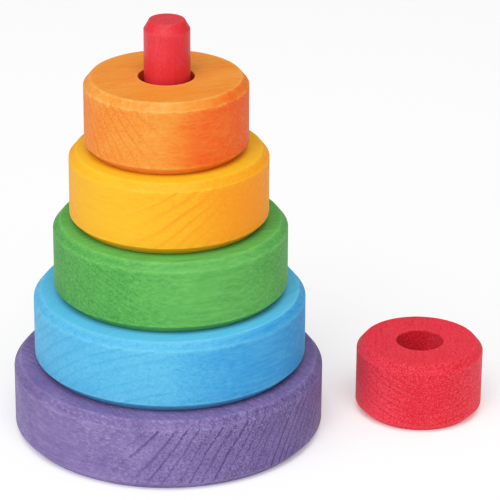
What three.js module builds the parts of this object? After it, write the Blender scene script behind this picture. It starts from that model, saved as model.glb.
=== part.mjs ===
// A wooden stacking ring toy: a base disc with a peg glued upright in it, four loose rings stacked
// on the peg, and the smallest ring standing beside the tower.
//
// Millimetres, +Z up. The origin is the centre of the base disc's underside, on the peg's axis,
// +X points to the loose ring and -Y to the front.

import * as THREE from "three";

// ---- driving dimensions ----

const boardThickness = 24; // every disc and ring is cut from the same board
const baseDiameter = 100;
const pegDiameter = 14.7;
const pegHeight = 138.5; // from the table to the tip
const wideBore = 17.6; // the stacked rings drop on easily
const closeBore = 15.3; // the smallest ring fits the peg closely

const topChamfer = { width: 2.1, height: 2.6 }; // width across the face, height down the side
const bottomChamfer = { width: 2.7, height: 2.8 };
const boreEasing = 0.2; // the bore's sharp edges are broken by hand
const tipChamfer = { width: 1.7, height: 3 };

const boreDepth = 18; // the peg's blind bore in the base
const glueGap = 0.3; // between the peg and the wood around it

// The rings that are on the peg, from the bottom one up. A loose ring never rests quite centred:
// sideways is how far from the peg's axis it sits, within its play.
const stackedRings = [
  { name: "ring_blue", diameter: 87.5, sideways: 0.5, colour: 0x5bb8e8 },
  { name: "ring_green", diameter: 75, sideways: 0.9, colour: 0x5fb156 },
  { name: "ring_yellow", diameter: 63.5, sideways: 0.5, colour: 0xfab830 },
  { name: "ring_orange", diameter: 52, sideways: -0.3, colour: 0xf39639 },
];

// The ring that stands on the table, beside the tower and a little behind its axis.
const looseRing = { name: "ring_red", diameter: 41.5, colour: 0xe63948 };
const looseRingPlace = { x: 82.5, y: 9 };

const baseColour = 0x8275a8;
const pegColour = 0xe53a42;

// ---- values worked out from them ----

const facets = 64; // round a full turn; a multiple of 4 keeps the true diameter along X and Y
const pegRadius = pegDiameter / 2;

// ---- shapes ----

// The outer edge of a disc seen in section, from its underside out and up to its top face.
function rimOutline(radius) {
  return [
    [radius - bottomChamfer.width, 0],
    [radius, bottomChamfer.height],
    [radius, boardThickness - topChamfer.height],
    [radius - topChamfer.width, boardThickness],
  ];
}

function turned(outline) {
  return new THREE.LatheGeometry(
    outline.map(([r, z]) => new THREE.Vector2(r, z)),
    facets,
  ).rotateX(Math.PI / 2); // a lathe turns about Y, and here the axis is Z
}

// A solid disc whose blind bore is open at the top.
function baseDisc() {
  const boreRadius = pegRadius + glueGap;
  const boreFloor = boardThickness - boreDepth;
  return turned([
    [0, 0],
    ...rimOutline(baseDiameter / 2),
    [boreRadius, boardThickness],
    [boreRadius, boreFloor],
    [0, boreFloor],
  ]);
}

// A dowel from just above the floor of its bore to the chamfered tip.
function peg() {
  const foot = boardThickness - boreDepth + glueGap;
  return turned([
    [0, foot],
    [pegRadius, foot],
    [pegRadius, pegHeight - tipChamfer.height],
    [pegRadius - tipChamfer.width, pegHeight],
    [0, pegHeight],
  ]);
}

// A ring's outline closes on itself, so it ends where it starts.
function ring(diameter, bore) {
  const boreRadius = bore / 2;
  return turned([
    [boreRadius + boreEasing, 0],
    ...rimOutline(diameter / 2),
    [boreRadius + boreEasing, boardThickness],
    [boreRadius, boardThickness - boreEasing],
    [boreRadius, boreEasing],
    [boreRadius + boreEasing, 0],
  ]);
}

// ---- assembly ----

// Stained wood with a matte, waxed surface.
function woodenPiece(name, geometry, colour) {
  const material = new THREE.MeshStandardMaterial({
    color: colour,
    roughness: 0.6,
    metalness: 0,
  });
  const mesh = new THREE.Mesh(geometry, material);
  mesh.name = name;
  return mesh;
}

function fixedBase() {
  const group = new THREE.Group();
  group.add(woodenPiece("base_disc", baseDisc(), baseColour));
  group.add(woodenPiece("peg", peg(), pegColour));
  return group;
}

function tower() {
  const group = new THREE.Group();
  group.add(fixedBase());
  stackedRings.forEach(({ name, diameter, sideways, colour }, level) => {
    const mesh = woodenPiece(name, ring(diameter, wideBore), colour);
    mesh.position.set(sideways, 0, boardThickness * (level + 1));
    group.add(mesh);
  });
  return group;
}

function ringOnTheTable() {
  const { name, diameter, colour } = looseRing;
  const mesh = woodenPiece(name, ring(diameter, closeBore), colour);
  mesh.position.set(looseRingPlace.x, looseRingPlace.y, 0);
  return mesh;
}

const toy = new THREE.Group();
toy.add(tower(), ringOnTheTable());

export default toy;
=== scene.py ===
"""The looks of a wooden stacking ring toy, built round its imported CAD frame.

Every disc, ring and the peg is turned again as a fine mesh, with eased corners and the slightly
uneven form of handwork. Each is hardwood stained in one colour: its growth rings run through the
whole piece, so the end grain shows slanted lines and the long sides show streaks.
Metres, in the CAD frame: +Z up, the tower's axis at x = y = 0, the front at -Y.
"""

import math

import bpy
from mathutils import Matrix, Vector, noise


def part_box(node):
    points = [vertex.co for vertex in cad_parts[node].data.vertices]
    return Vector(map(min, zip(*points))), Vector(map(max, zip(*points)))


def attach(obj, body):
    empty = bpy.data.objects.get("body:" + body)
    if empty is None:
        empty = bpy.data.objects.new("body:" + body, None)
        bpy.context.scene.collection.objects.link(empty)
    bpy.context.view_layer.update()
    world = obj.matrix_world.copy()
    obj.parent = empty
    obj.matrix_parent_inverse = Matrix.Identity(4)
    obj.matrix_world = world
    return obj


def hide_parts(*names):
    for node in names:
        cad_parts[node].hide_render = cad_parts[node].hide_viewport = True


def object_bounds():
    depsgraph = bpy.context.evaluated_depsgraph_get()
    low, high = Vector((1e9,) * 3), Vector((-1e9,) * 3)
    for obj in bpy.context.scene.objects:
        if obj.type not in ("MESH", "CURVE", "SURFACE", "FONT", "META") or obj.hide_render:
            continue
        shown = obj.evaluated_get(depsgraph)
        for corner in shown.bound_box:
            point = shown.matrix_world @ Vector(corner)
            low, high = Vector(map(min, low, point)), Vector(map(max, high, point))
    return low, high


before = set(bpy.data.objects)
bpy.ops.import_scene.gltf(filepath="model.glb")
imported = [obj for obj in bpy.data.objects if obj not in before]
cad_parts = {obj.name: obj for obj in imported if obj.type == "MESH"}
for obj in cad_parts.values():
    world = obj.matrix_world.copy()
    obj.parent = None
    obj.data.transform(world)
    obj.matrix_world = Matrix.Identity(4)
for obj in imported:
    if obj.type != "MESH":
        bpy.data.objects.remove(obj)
cad_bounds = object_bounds()

MM = 0.001
MM_PER_M = 1000


def direction(azimuth, elevation):
    """A unit vector in degrees: azimuth 0 is the front, -Y, and 90 the right, +X."""
    turn, rise = math.radians(azimuth), math.radians(elevation)
    return Vector((math.sin(turn) * math.cos(rise), -math.cos(turn) * math.cos(rise), math.sin(rise)))


# ---- turned shapes ----

SEGMENTS = 256           # steps round a full turn
ARC_STEPS = 5            # steps round an eased corner
SHORT_SIDE_SHARE = 0.45  # the most of a side that the easing of one of its corners takes up
RUN_STEP = 2 * MM        # spacing of the points along a straight run of an outline
RUN_ENDS = (0.25 * MM, 0.9 * MM)  # the first points beyond a corner, which keep it crisp
RUN_END_SHARE = 0.4      # the most of a run that the points at one of its ends take up
UNEVENNESS = 0.12 * MM   # how far the hand-sanded surface dips below its true form
DIP_SIZE = 22 * MM       # width of those dips
WEAR_REACH = 0.9 * MM    # how far from a corner the rubbed-off stain fades out
CORNER_DECIMALS = 5      # decimals of a metre to which CAD vertices at one corner agree


def section_of(node, seen_from=None):
    """A turned CAD node's axis, and its outline's corners as (radius, height) points in order.

    seen_from is a point inside the outline from which every corner is seen.
    """
    low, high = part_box(node)
    axis = Vector(((low.x + high.x) / 2, (low.y + high.y) / 2, 0))
    corners = set()
    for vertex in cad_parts[node].data.vertices:
        out = vertex.co - axis
        corners.add((round(math.hypot(out.x, out.y), CORNER_DECIMALS), round(out.z, CORNER_DECIMALS)))
    middle = seen_from or [sum(values) / len(corners) for values in zip(*corners)]
    ordered = sorted(corners, key=lambda c: math.atan2(c[1] - middle[1], c[0] - middle[0]))
    return axis, [Vector(corner) for corner in ordered]


def eased_corner(before, corner, after, easing):
    """Points along the arc that rounds off a corner inside its two sides."""
    ways = [end - corner for end in (before, after)]
    sides = [way.normalized() for way in ways]
    half_angle = sides[0].angle(sides[1]) / 2
    roomy = math.tan(half_angle) * min(way.length for way in ways) * SHORT_SIDE_SHARE
    radius = min(easing, roomy)
    centre = corner + (sides[0] + sides[1]).normalized() * radius / math.sin(half_angle)
    first, last = [corner + side * radius / math.tan(half_angle) - centre for side in sides]
    return [centre + first.lerp(last, step / ARC_STEPS).normalized() * radius
            for step in range(ARC_STEPS + 1)]


def run_points(start, end):
    """Points on a straight run between two corners: close to its ends first, then evenly spaced."""
    length = (end - start).length
    near = [distance for distance in RUN_ENDS if distance < length * RUN_END_SHARE]
    first = near[-1] if near else 0
    steps = max(1, round((length - 2 * first) / RUN_STEP))
    even = [first + (length - 2 * first) * step / steps for step in range(1, steps)]
    distances = near + even + [length - distance for distance in reversed(near)]
    return [start.lerp(end, distance / length) for distance in distances]


def smooth_outline(corners, easing):
    """The outline with eased corners and points on its runs. It stays open along the axis."""
    count = len(corners)
    rounded = []
    for index, corner in enumerate(corners):
        if corner.x == 0:
            rounded.append([corner])
        else:
            before, after = corners[index - 1], corners[(index + 1) % count]
            rounded.append(eased_corner(before, corner, after, easing))
    first = next((i for i in range(count) if corners[i].x == 0 and corners[i - 1].x == 0), 0)
    outline = []
    for step in range(count):
        index = (first + step) % count
        start, end = rounded[index][-1], rounded[(index + 1) % count][0]
        outline += rounded[index]
        if start.x > 0 or end.x > 0:
            outline += run_points(start, end)
    return outline


def outline_normals(outline):
    """The outward direction at each point of an outline that runs anticlockwise."""
    count = len(outline)
    normals = []
    for index in range(count):
        along = outline[(index + 1) % count] - outline[index - 1]
        normals.append(Vector((along.y, -along.x)).normalized())
    return normals


def lathe_faces(rows, closed):
    """Faces between rows of vertices that run round the axis. A row of one is a point on the axis."""
    faces = []
    for index in range(len(rows) if closed else len(rows) - 1):
        here, there = rows[index], rows[(index + 1) % len(rows)]
        for turn in range(SEGMENTS):
            after = (turn + 1) % SEGMENTS
            if len(here) == 1:
                faces.append((here[0], there[after], there[turn]))
            elif len(there) == 1:
                faces.append((here[turn], here[after], there[0]))
            else:
                faces.append((here[turn], here[after], there[after], there[turn]))
    return faces


def turned_mesh(name, axis, corners, easing, seed):
    """A lathe-turned mesh whose WEAR attribute is 1 at its corners and 0 away from them."""
    outline = smooth_outline(corners, easing)
    normals = outline_normals(outline)
    closed = min(point.x for point in outline) > 0
    underside = min(point.y for point in outline)
    worn_corners = [corner for corner in corners if corner.x > 0]
    vertices, wear, rows = [], [], []
    for point, normal in zip(outline, normals):
        corner_distance = min((point - corner).length for corner in worn_corners)
        turns = SEGMENTS if point.x > 0 else 1
        rows.append(range(len(vertices), len(vertices) + turns))
        for turn in range(turns):
            angle = 2 * math.pi * turn / SEGMENTS
            outwards = Vector((math.cos(angle), math.sin(angle), 0))
            place = axis + outwards * point.x + Vector((0, 0, point.y))
            if point.x > 0 and point.y > underside:
                dip = noise.noise(place / DIP_SIZE + Vector((seed, 0, 0)))
                depth = 0.5 + 0.5 * dip  # dip runs from -1 to 1
                place -= (outwards * normal.x + Vector((0, 0, normal.y))) * UNEVENNESS * depth
            place.z = max(place.z, underside)
            vertices.append(place)
            wear.append(max(0, 1 - corner_distance / WEAR_REACH))
    faces = lathe_faces(rows, closed)
    mesh = bpy.data.meshes.new(name)
    mesh.from_pydata(vertices, [], faces)
    mesh.attributes.new("WEAR", "FLOAT", "POINT").data.foreach_set("value", wear)
    mesh.polygons.foreach_set("use_smooth", [True] * len(faces))
    return mesh


# ---- stained wood ----

# Sockets of Blender's colour Mix node.
MIX_FACTOR = 0
MIX_FIRST = 6
MIX_SECOND = 7
MIX_RESULT = 2

# Patterns of noise in the wood: their width across the fibres in mm, the share that draws them out
# along the fibres (1 draws them out not at all, and 0.5 to double length), detail and roughness.
PATTERNS = {
    "line_patches": (18, 0.3, 2, 0.5),
    "mottle": (11, 0.5, 4, 0.65),
    "streaks": (1, 0.06, 3, 0.65),
    "pore_noise": (0.5, 0.4, 2, 0.6),
    "rubbing": (3, 1, 4, 0.75),
    "flecks": (0.7, 0.4, 3, 0.75),
    "fleck_zones": (20, 1, 2, 0.5),
}

PORE_SPACING = 0.8        # mm across the fibres
PORE_DRAW = 0.15          # the share that draws pores out along the fibres
PORE_STRENGTH = 0.25      # of a pore against the noise round it
PORE_MEAN = 0.53          # of both together

RING_DRAW = 0.06          # the share that draws the growth rings' waves out along the fibres
RING_WAVES = (26, 3)      # width and sway of their broad waves, in mm
RING_RIPPLES = (5, 0.7)   # width and sway of their small ripples, in mm
ALIKE_YEARS = 2           # about how many growth rings in a row have a like width
UNEVEN_YEARS = 0.8        # by how many years that shifts the rings
FAINTEST_YEAR = 0.45      # strength of the late wood in the faintest year
FAINTEST_PATCH = 0.6      # and in the faintest patches
SIDE_GRAIN_LINES = 0.12   # strength of the growth rings where the fibres lie in the surface
SIDE_GRAIN_PORES = 0.3    # strength of the pores there
BEVEL_LINES = 0.4         # strength of the growth rings on the upper bevel

MIDDLE = 0.5              # of a noise's range, and of the stain's depth from thin to deep
BORE_DARKENING = 0.2          # how much deeper the colour is on the wall of a bore
RUBBED = (0.35, 1.4)      # least and most that the rubbing varies the wear by
FLECK_ZONES = (0.25, 1)   # least and most strength of the unstained flecks
SMOOTHER = 0.07           # how far the roughness goes below a piece's own
ROUGHER = 0.09            # and above it
LINE_RELIEF = -0.5        # height of late wood, which is hard and smooth, against the fuzz
RELIEF_STRENGTH = 0.5
RELIEF_HEIGHT = 0.1 * MM


class Graph:
    """Adds shader nodes to a material. Its methods take sockets or plain values."""

    def __init__(self, material):
        self.tree = material.node_tree

    def add(self, kind, inputs=(), **settings):
        node = self.tree.nodes.new(kind)
        for name, value in settings.items():
            setattr(node, name, value)
        for key, value in dict(inputs).items():
            if isinstance(value, bpy.types.NodeSocket):
                self.tree.links.new(value, node.inputs[key])
            else:
                node.inputs[key].default_value = value
        return node

    def math(self, operation, first, second=0.0, third=0.0):
        inputs = {0: first, 1: second, 2: third}
        return self.add("ShaderNodeMath", inputs, operation=operation).outputs[0]

    def total(self, terms, start):
        """start plus each term, which is (value, amount, centre): amount * (value - centre)."""
        for value, amount, centre in terms:
            start = self.math("ADD", start, -amount * centre) if amount * centre else start
            start = self.math("MULTIPLY_ADD", value, amount, start)
        return start

    def join(self, output, node, socket):
        self.tree.links.new(output, node.inputs[socket])

    def vector(self, operation, first, second=(0, 0, 0)):
        node = self.add("ShaderNodeVectorMath", {0: first, 1: second}, operation=operation)
        return node.outputs["Value" if operation in ("DOT_PRODUCT", "LENGTH") else "Vector"]

    def stretched(self, vector, scale):
        """The vector with each of its axes multiplied."""
        return self.vector("MULTIPLY", vector, scale)

    def noise(self, vector, size, detail=2.0, roughness=0.5):
        """Smooth noise from 0 to 1 whose features are about size wide."""
        inputs = {"Vector": vector, "Scale": 1 / size, "Detail": detail, "Roughness": roughness}
        return self.add("ShaderNodeTexNoise", inputs).outputs["Fac"]

    def noise_vector(self, vector, size):
        """Smooth noise on each of three axes, around 0 and at most half either way."""
        node = self.add("ShaderNodeTexNoise", {"Vector": vector, "Scale": 1 / size, "Detail": 2.0})
        return self.vector("SUBTRACT", node.outputs["Color"], (MIDDLE,) * 3)

    def dots(self, vector, size):
        """Scattered round dots, 1 at their middles and 0 between them, about size apart."""
        node = self.add("ShaderNodeTexVoronoi", {"Vector": vector, "Scale": 1 / size})
        return self.ramp(node.outputs["Distance"], 0.12, 0.42, 1, 0)

    def ramp(self, value, low, high, to_low=0.0, to_high=1.0):
        """The value moved smoothly from low..high to to_low..to_high, and held beyond."""
        inputs = {"Value": value, "From Min": low, "From Max": high, "To Min": to_low, "To Max": to_high}
        return self.add("ShaderNodeMapRange", inputs, interpolation_type="SMOOTHSTEP").outputs[0]

    def colours(self, value, stops):
        """A colour that runs through stops, which are (position, colour) pairs."""
        node = self.add("ShaderNodeValToRGB", {"Fac": value})
        elements = node.color_ramp.elements
        for position, colour in stops[2:]:
            elements.new(position)
        for element, (position, colour) in zip(elements, sorted(stops)):
            element.position = position
            element.color = (*colour, 1)
        return node.outputs["Color"]

    def mix(self, factor, first, second):
        """first where factor is 0, second where it is 1. Each is a colour or a socket."""
        node = self.add("ShaderNodeMix", data_type="RGBA")
        for index, value in ((MIX_FACTOR, factor), (MIX_FIRST, first), (MIX_SECOND, second)):
            if isinstance(value, bpy.types.NodeSocket):
                self.tree.links.new(value, node.inputs[index])
            else:
                node.inputs[index].default_value = (*value, 1)
        return node.outputs[MIX_RESULT]

    def tinted(self, colour, tint):
        """The colour with its red, green and blue multiplied by the tint's."""
        return self.vector("MULTIPLY", colour, tint)


def grain_axes(fibre_azimuth):
    """Fibres that lie flat and come out of the rim at an azimuth: along, across and up.

    None is for fibres that stand upright.
    """
    if fibre_azimuth is None:
        return Vector((0, 0, 1)), Vector((1, 0, 0)), Vector((0, 1, 0))
    along = direction(fibre_azimuth, 0)
    return along, Vector((-along.y, along.x, 0)), Vector((0, 0, 1))


def pattern(graph, grain, name):
    """One of the PATTERNS of noise, from 0 to 1."""
    size, draw, detail, roughness = PATTERNS[name]
    return graph.noise(graph.stretched(grain, (draw, 1, 1)), size, detail, roughness)


def swaying(graph, grain, size, sway):
    """A shift across the fibres of up to half of sway either way, in waves about size wide."""
    return graph.stretched(graph.noise_vector(grain, size), (0, sway, sway))


def years_from_pith(graph, grain, wood):
    """How many growth rings lie between here and the pith.

    Growth rings are circles round the pith, which runs along the fibres outside the piece.
    """
    slant = math.radians(wood["slant"])
    pith = Vector((0, math.sin(slant), -math.cos(slant))) * wood["pith"]
    long_grain = graph.stretched(grain, (RING_DRAW, 1, 1))
    waves = swaying(graph, long_grain, *RING_WAVES)
    ripples = swaying(graph, long_grain, *RING_RIPPLES)
    from_pith = graph.vector("ADD", graph.stretched(grain, (0, 1, 1)), -pith)
    from_pith = graph.vector("ADD", from_pith, graph.vector("ADD", waves, ripples))
    years = graph.math("DIVIDE", graph.vector("LENGTH", from_pith), wood["ring_width"])
    uneven = graph.add("ShaderNodeTexNoise", {"W": years, "Scale": 1 / ALIKE_YEARS, "Detail": 1},
                       noise_dimensions="1D").outputs["Fac"]
    return graph.math("MULTIPLY_ADD", uneven, UNEVEN_YEARS, years)


def growth_lines(graph, grain, wood):
    """How dark the wood is with late wood: 0 in most of each growth ring, up to 1 near its end."""
    years = years_from_pith(graph, grain, wood)
    season = graph.math("FRACT", years)
    start = 1 - wood["late_share"]
    peak = 1 - wood["late_share"] / 3  # two thirds of the way through the late wood
    darkening = graph.ramp(season, start, peak)
    ending = graph.ramp(season, peak, 1, 1, 0)
    late_wood = graph.math("MULTIPLY", darkening, ending)
    each_year = graph.add("ShaderNodeTexWhiteNoise", {"W": graph.math("FLOOR", years)},
                          noise_dimensions="1D").outputs["Value"]
    by_year = graph.ramp(each_year, 0, 1, FAINTEST_YEAR, 1)
    by_patch = graph.ramp(pattern(graph, grain, "line_patches"), 0.35, 0.55, FAINTEST_PATCH, 1)
    return graph.math("MULTIPLY", late_wood, graph.math("MULTIPLY", by_year, by_patch))


def pore_pattern(graph, grain):
    """Fine noise with round pores in it, both drawn out along the fibres."""
    pores = graph.dots(graph.stretched(grain, (PORE_DRAW, 1, 1)), PORE_SPACING)
    return graph.math("MULTIPLY_ADD", pores, PORE_STRENGTH, pattern(graph, grain, "pore_noise"))


def upper_bevel(graph, tilt):
    """1 on the slanting upper edge of a piece, and 0 on its side, its flat top and its underside."""
    off_the_side = graph.ramp(tilt, 0.2, 0.5)
    off_the_top = graph.ramp(tilt, 0.75, 0.97, 1, 0)
    return graph.math("MULTIPLY", off_the_side, off_the_top)


def in_bore(graph, normal, from_middle):
    """1 on the wall of a bore, whose surface faces the axis rather than away from it."""
    facing_out = graph.vector("DOT_PRODUCT", normal, graph.stretched(from_middle, (1, 1, 0)))
    return graph.ramp(facing_out, -4 * MM, -1 * MM, 1, 0)


def on_painted_shade_side(graph, normal, azimuth):
    """1 on the side of a piece that faces the azimuth, where its colour is painted deeper as painted
    shade, and paler as painted light when the amount is below 0.
    """
    return graph.ramp(graph.vector("DOT_PRODUCT", normal, direction(azimuth, 0)), 0.4, 0.9)


def wear_and_bevel_shade(graph, grain, bevel, wood):
    """How much stain the worn corners have lost, and how much paler the upper bevel is painted: partly
    wear and partly painted light, and painted shade where its amount is below 0.
    """
    wear = graph.add("ShaderNodeAttribute", attribute_name="WEAR").outputs["Fac"]
    rubbing = graph.ramp(pattern(graph, grain, "rubbing"), 0.35, 0.68, *RUBBED)
    wear_and_shade = graph.total([(wear, wood["wear"], 0), (bevel, wood["bevel_wear_and_shade"], 0)], 0)
    return graph.math("MULTIPLY", wear_and_shade, rubbing)


def unstained_flecks(graph, grain, wood):
    """The few fibres that took no stain, denser in some zones than in others."""
    flecks = graph.ramp(pattern(graph, grain, "flecks"), 0.46, 0.76)
    zones = graph.ramp(pattern(graph, grain, "fleck_zones"), 0.4, 0.62, *FLECK_ZONES)
    return graph.math("MULTIPLY", graph.math("MULTIPLY", flecks, zones), wood["flecks"])


def stained_wood(name, middle, wood):
    """Hardwood stained on its surface. wood holds the values explained at PIECES."""
    material = bpy.data.materials.new(name)
    material.use_nodes = True
    graph = Graph(material)
    surface = material.node_tree.nodes["Principled BSDF"]
    place = graph.add("ShaderNodeTexCoord")
    normal = place.outputs["Normal"]
    from_middle = graph.vector("SUBTRACT", place.outputs["Object"], middle)

    # Millimetres from the piece's middle: along the fibres, across them and up.
    axes = grain_axes(wood["fibres"])
    grain = graph.add("ShaderNodeMapping", {
        "Vector": from_middle,
        "Rotation": Matrix(axes).to_euler(),
        "Scale": (MM_PER_M,) * 3,
    }).outputs[0]

    # How squarely the surface cuts the fibres, and which way it faces.
    cut = graph.math("ABSOLUTE", graph.vector("DOT_PRODUCT", normal, axes[0]))
    end_grain = graph.math("POWER", cut, 2)
    tilt = graph.add("ShaderNodeSeparateXYZ", {0: normal}).outputs["Z"]
    bevel = upper_bevel(graph, tilt)

    rings = growth_lines(graph, grain, wood)
    rings = graph.math("MULTIPLY", rings, graph.ramp(end_grain, 0.05, 0.7, SIDE_GRAIN_LINES, 1))
    rings = graph.math("MULTIPLY", rings, graph.ramp(bevel, 0, 1, 1, BEVEL_LINES))

    # What makes the stain deeper (+) or paler (-) than usual, and the painted shade on one side.
    streaks = pattern(graph, grain, "streaks")
    pores = pore_pattern(graph, grain)
    pore_ends = graph.math("MULTIPLY", graph.math("SUBTRACT", pores, PORE_MEAN),
                           graph.ramp(end_grain, 0, 0.6, SIDE_GRAIN_PORES, 1))
    # Painted shade on the side that faces the azimuth, and painted light there when its amount is below
    # 0.
    shade_azimuth, shade_depth = wood["painted_side_shade"]
    depth = graph.total([
        (end_grain, wood["thirst"], MIDDLE),
        (pattern(graph, grain, "mottle"), wood["mottle"], MIDDLE),
        (streaks, wood["streaks"], MIDDLE),
        (pore_ends, wood["pores"], 0),
        (on_painted_shade_side(graph, normal, shade_azimuth), shade_depth, 0),
        (in_bore(graph, normal, from_middle), BORE_DARKENING, 0),
    ], MIDDLE)
    # Wear on the corners. On the upper bevel, painted light that is partly wear, and painted shade where
    # its amount is below 0.
    depth = graph.math("SUBTRACT", depth, wear_and_bevel_shade(graph, grain, bevel, wood))

    stain = graph.colours(depth, [(0, wood["thin"]), (MIDDLE, wood["usual"]), (1, wood["deep"])])
    stain = graph.mix(graph.math("MULTIPLY", rings, wood["lines"]), stain, wood["late"])
    # Painted light and shade on the flat tops, multiplied into the stain.
    flat_top = graph.ramp(tilt, 0.9, 0.98)
    stain = graph.mix(flat_top, stain, graph.tinted(stain, wood["painted_top_light"]))
    flecked = graph.mix(unstained_flecks(graph, grain, wood), stain, wood["bare"])
    graph.join(flecked, surface, "Base Color")

    # Pores and late wood can be felt, and fibrous patches are duller.
    fuzz = graph.math("ADD", streaks, pores)
    roughness = graph.ramp(fuzz, 0.7, 1.3, wood["gloss"] - SMOOTHER, wood["gloss"] + ROUGHER)
    graph.join(roughness, surface, "Roughness")
    relief = graph.total([(fuzz, 1, 0), (rings, LINE_RELIEF, 0)], 0)
    bump = graph.add("ShaderNodeBump", {
        "Height": relief,
        "Strength": RELIEF_STRENGTH,
        "Distance": RELIEF_HEIGHT,
    })
    graph.join(bump.outputs[0], surface, "Normal")
    surface.inputs["Specular IOR Level"].default_value = wood["shine"]
    return material


# ---- the pieces ----

# seen_from    a point inside its outline from which every corner is seen, in metres
# easing       radius that its corners are rounded off to
# fibres       azimuth at which the fibres meet the rim, or None for upright fibres
# slant        how steeply the growth rings rise to the right across that end grain, in degrees,
#              with 180 more when the pith is above the piece rather than below it
# pith         distance from the piece's middle to the tree's pith, in mm
# ring_width   mean width of a growth ring, in mm
# late_share   share of each growth ring that is late wood
# lines, late              strength and colour of that late wood
# thirst                   how much deeper the stain is on end grain
# painted_side_shade       azimuth of the side painted deeper, as painted shade, and how much, or,
#                          below 0, how much paler it is painted, as painted light
# pores, streaks, mottle   how much each of them changes the stain's depth
# wear, bevel_wear_and_shade how much stain is rubbed off the corners, and how much paler the upper
#                          bevel is, partly worn and partly painted light, or, below 0, how much darker,
#                          as painted shade
# flecks, bare             strength and colour of the unstained flecks
# thin, usual, deep        the stain's colour from its palest to its deepest
# painted_top_light        what the colour of the flat top is multiplied by: painted light and shade
#                          that evens out the shade and tinted bounce light from the piece above
# gloss, shine             roughness, and strength of its reflections
COMMON = {
    "easing": 0.4 * MM,
    "pith": 110,
    "late_share": 0.3,
    "streaks": 0.6,
    "mottle": 0.6,
    "wear": 0.3,
    "painted_top_light": (1, 1, 1),
    "gloss": 0.55,
    "shine": 0.15,
}

PIECES = {
    "base_disc": dict(
        COMMON, title="purple_base", body="base", slot="purple_wood", seed=1, seen_from=(0.02, 0.004),
        fibres=44, slant=57, ring_width=2.9, late_share=0.36, lines=1.5, late=(0.07, 0.045, 0.16),
        thirst=0.15, painted_side_shade=(65, 0.12), pores=1.3, streaks=0.55, mottle=0.85,
        wear=0.22, bevel_wear_and_shade=-0.2, flecks=0.5, bare=(0.45, 0.38, 0.58),
        thin=(0.28, 0.215, 0.44), usual=(0.169, 0.123, 0.303), deep=(0.092, 0.06, 0.19),
        painted_top_light=(0.93, 0.88, 0.93)),
    "peg": dict(
        COMMON, title="red_peg", body="base", slot="peg_wood", seed=2, easing=0.3 * MM,
        fibres=None, slant=20, pith=40, ring_width=2.2, lines=0.4, late=(0.5, 0.012, 0.016),
        thirst=0, painted_side_shade=(60, 0.15), pores=1.3, streaks=0.4,
        wear=0.2, bevel_wear_and_shade=-0.15, flecks=0.25, bare=(0.72, 0.14, 0.14),
        thin=(0.74, 0.06, 0.075), usual=(0.65, 0.026, 0.038), deep=(0.57, 0.01, 0.014),
        gloss=0.36, shine=0.2),
    "ring_blue": dict(
        COMMON, title="blue_ring", body="blue_ring", slot="blue_wood", seed=3,
        fibres=-46, slant=34, ring_width=3.6, late_share=0.5, lines=0.65, late=(0.05, 0.32, 0.55),
        thirst=0.15, painted_side_shade=(60, 0.5), pores=0.6, mottle=0.4,
        bevel_wear_and_shade=-0.12, flecks=0.08, bare=(0.3, 0.55, 0.7),
        thin=(0.16, 0.5, 0.73), usual=(0.095, 0.42, 0.665), deep=(0.03, 0.275, 0.59),
        painted_top_light=(0.95, 1.13, 1.18)),
    "ring_green": dict(
        COMMON, title="green_ring", body="green_ring", slot="green_wood", seed=4,
        fibres=-71, slant=-27, ring_width=2.3, lines=0.8, late=(0.045, 0.25, 0.04),
        thirst=0.2, painted_side_shade=(-60, 0.1), pores=1.0, streaks=1.0,
        wear=0.4, bevel_wear_and_shade=-0.1, flecks=0.3, bare=(0.26, 0.5, 0.18),
        thin=(0.14, 0.455, 0.1), usual=(0.088, 0.345, 0.07), deep=(0.04, 0.24, 0.042),
        painted_top_light=(1.02, 1.07, 1)),
    "ring_yellow": dict(
        COMMON, title="yellow_ring", body="yellow_ring", slot="yellow_wood", seed=5,
        fibres=50, slant=40, ring_width=2.9, late_share=0.5, lines=1.7, late=(0.85, 0.29, 0.008),
        thirst=0.45, painted_side_shade=(70, 0.15), pores=0.5, mottle=0.25,
        bevel_wear_and_shade=-0.1, flecks=0.05, bare=(0.9, 0.5, 0.1),
        thin=(0.88, 0.45, 0.022), usual=(0.87, 0.37, 0.012), deep=(0.9, 0.25, 0.004),
        painted_top_light=(0.98, 1.16, 1.05)),
    "ring_orange": dict(
        COMMON, title="orange_ring", body="orange_ring", slot="orange_wood", seed=6,
        fibres=-70, slant=-58, ring_width=2.6, late_share=0.38, lines=1.0, late=(0.64, 0.16, 0.016),
        thirst=0.15, painted_side_shade=(58, 0.5), pores=0.8, streaks=0.45,
        bevel_wear_and_shade=0.12, flecks=0.15, bare=(0.85, 0.46, 0.2),
        thin=(0.82, 0.365, 0.09), usual=(0.77, 0.24, 0.026), deep=(0.77, 0.09, 0.007),
        painted_top_light=(1.02, 1.02, 0.85)),
    "ring_red": dict(
        COMMON, title="red_ring", body="red_ring", slot="red_wood", seed=7, easing=0.6 * MM,
        fibres=-5, slant=172, pith=34, ring_width=2.2, late_share=0.4, lines=0.7,
        late=(0.5, 0.012, 0.026),
        thirst=0.3, painted_side_shade=(-75, -0.4), pores=2.6, streaks=0.3, mottle=0.4,
        wear=0.15, bevel_wear_and_shade=-0.15, flecks=0.3, bare=(0.8, 0.17, 0.22),
        thin=(0.86, 0.05, 0.08), usual=(0.66, 0.024, 0.042), deep=(0.56, 0.006, 0.016),
        painted_top_light=(1.03, 0.9, 0.95)),
}


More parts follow.
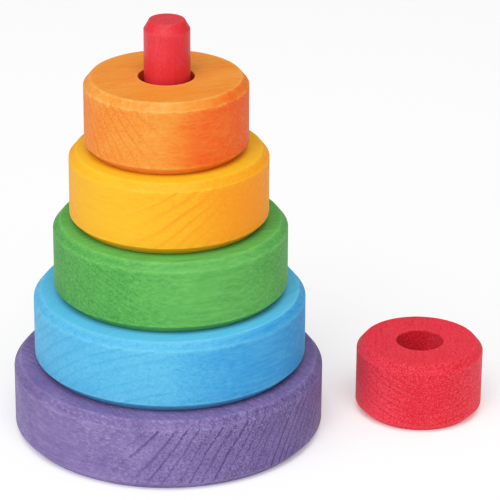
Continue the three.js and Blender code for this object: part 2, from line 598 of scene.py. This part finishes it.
def make_piece(node, wood):
    """Turns one piece, stains it and sets it on its body in place of its CAD node."""
    axis, corners = section_of(node, wood.get("seen_from"))
    mesh = turned_mesh(wood["title"], axis, corners, wood["easing"], wood["seed"])
    low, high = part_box(node)
    mesh.materials.append(stained_wood(wood["title"] + "_wood", (low + high) / 2, wood))
    piece = bpy.data.objects.new(wood["title"], mesh)
    bpy.context.scene.collection.objects.link(piece)
    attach(piece, wood["body"])
    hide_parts(node)


for node, wood in PIECES.items():
    make_piece(node, wood)


# ---- studio ----

FLOOR_RADIUS = 4.0
FLOOR_SIDES = 64
FLOOR_GLOW = 0.18
WORLD_LEVEL = 0.36

LIGHT_SIZE = 2.4      # side of each square light
LIGHT_DISTANCE = 3.0  # from the object's middle

# Each light's azimuth and elevation in degrees, and how bright it makes a white surface that
# faces it, 1 being pure white.
LIGHTS = {
    "overhead_light": (0, 58, 0.8),
    "key_light": (-46, 34, 0.4),
    "side_light": (80, 18, 0.08),
}

CAMERA_AIM = Vector((0.0262, 0, 0.0605))
CAMERA_DISTANCE = 0.921
CAMERA_PLACE = (-1.76, 23.69)  # azimuth and elevation, seen from the aim, in degrees
CAMERA_ROLL = 0.44             # degrees, anticlockwise
FIELD_OF_VIEW = 9.92           # degrees across the square picture
SENSOR_WIDTH = 36              # mm

# Scene-linear light against what is shown: true up to 0.6, then a soft shoulder up to pure white.
BRIGHTEST = 1.15
SHOULDER = [(0, 0), (0.3, 0.3), (0.6, 0.6), (0.8, 0.79), (1.0, 0.93), (BRIGHTEST, 1.0)]


def make_floor():
    """A white table that glows a little, as an opal sheet lit from below does."""
    material = bpy.data.materials.new("white_table")
    material.use_nodes = True
    surface = material.node_tree.nodes["Principled BSDF"]
    surface.inputs["Base Color"].default_value = (0.9, 0.9, 0.9, 1)
    surface.inputs["Roughness"].default_value = 0.9
    surface.inputs["Specular IOR Level"].default_value = 0.1
    surface.inputs["Emission Color"].default_value = (1, 1, 1, 1)
    surface.inputs["Emission Strength"].default_value = FLOOR_GLOW
    turns = [2 * math.pi * step / FLOOR_SIDES for step in range(FLOOR_SIDES)]
    edge = [(math.cos(turn) * FLOOR_RADIUS, math.sin(turn) * FLOOR_RADIUS, 0) for turn in turns]
    mesh = bpy.data.meshes.new("floor")
    mesh.from_pydata(edge, [], [range(FLOOR_SIDES)])
    mesh.materials.append(material)
    floor = bpy.data.objects.new("floor", mesh)
    bpy.context.scene.collection.objects.link(floor)


def softbox(name, azimuth, elevation, level):
    """A large square area light that faces the object's middle."""
    light = bpy.data.lights.new(name, "AREA")
    light.size = LIGHT_SIZE
    light.energy = level * math.pi**2 * LIGHT_DISTANCE**2
    lamp = bpy.data.objects.new(name, light)
    middle = (cad_bounds[0] + cad_bounds[1]) / 2
    lamp.location = middle + direction(azimuth, elevation) * LIGHT_DISTANCE
    lamp.rotation_euler = (middle - lamp.location).to_track_quat("-Z", "Y").to_euler()
    bpy.context.scene.collection.objects.link(lamp)


def make_world():
    """Even white light from all round."""
    world = bpy.data.worlds.new("white_studio")
    world.use_nodes = True
    background = world.node_tree.nodes["Background"]
    background.inputs["Color"].default_value = (1, 1, 1, 1)
    background.inputs["Strength"].default_value = WORLD_LEVEL
    bpy.context.scene.world = world


def make_camera():
    """A long lens in front of the toy, looking down on it a little."""
    data = bpy.data.cameras.new("camera")
    data.sensor_width = SENSOR_WIDTH
    data.lens = data.sensor_width / 2 / math.tan(math.radians(FIELD_OF_VIEW) / 2)
    camera = bpy.data.objects.new("camera", data)
    camera.location = CAMERA_AIM + direction(*CAMERA_PLACE) * CAMERA_DISTANCE
    camera.rotation_euler = (CAMERA_AIM - camera.location).to_track_quat("-Z", "Y").to_euler()
    camera.rotation_euler.rotate_axis("Z", math.radians(CAMERA_ROLL))
    bpy.context.scene.collection.objects.link(camera)
    bpy.context.scene.camera = camera


def soften_highlights():
    """Shows light by the SHOULDER curve, so that the brightest parts fade softly into white."""
    view = bpy.context.scene.view_settings
    view.view_transform = "Standard"
    view.use_curve_mapping = True
    mapping = view.curve_mapping
    mapping.white_level = (BRIGHTEST,) * 3
    curve = mapping.curves[3]  # the one for red, green and blue together
    for light, shown in SHOULDER[1:-1]:
        curve.points.new(light / BRIGHTEST, shown)
    mapping.update()


make_floor()
make_world()
for name, (azimuth, elevation, level) in LIGHTS.items():
    softbox(name, azimuth, elevation, level)
make_camera()
soften_highlights()
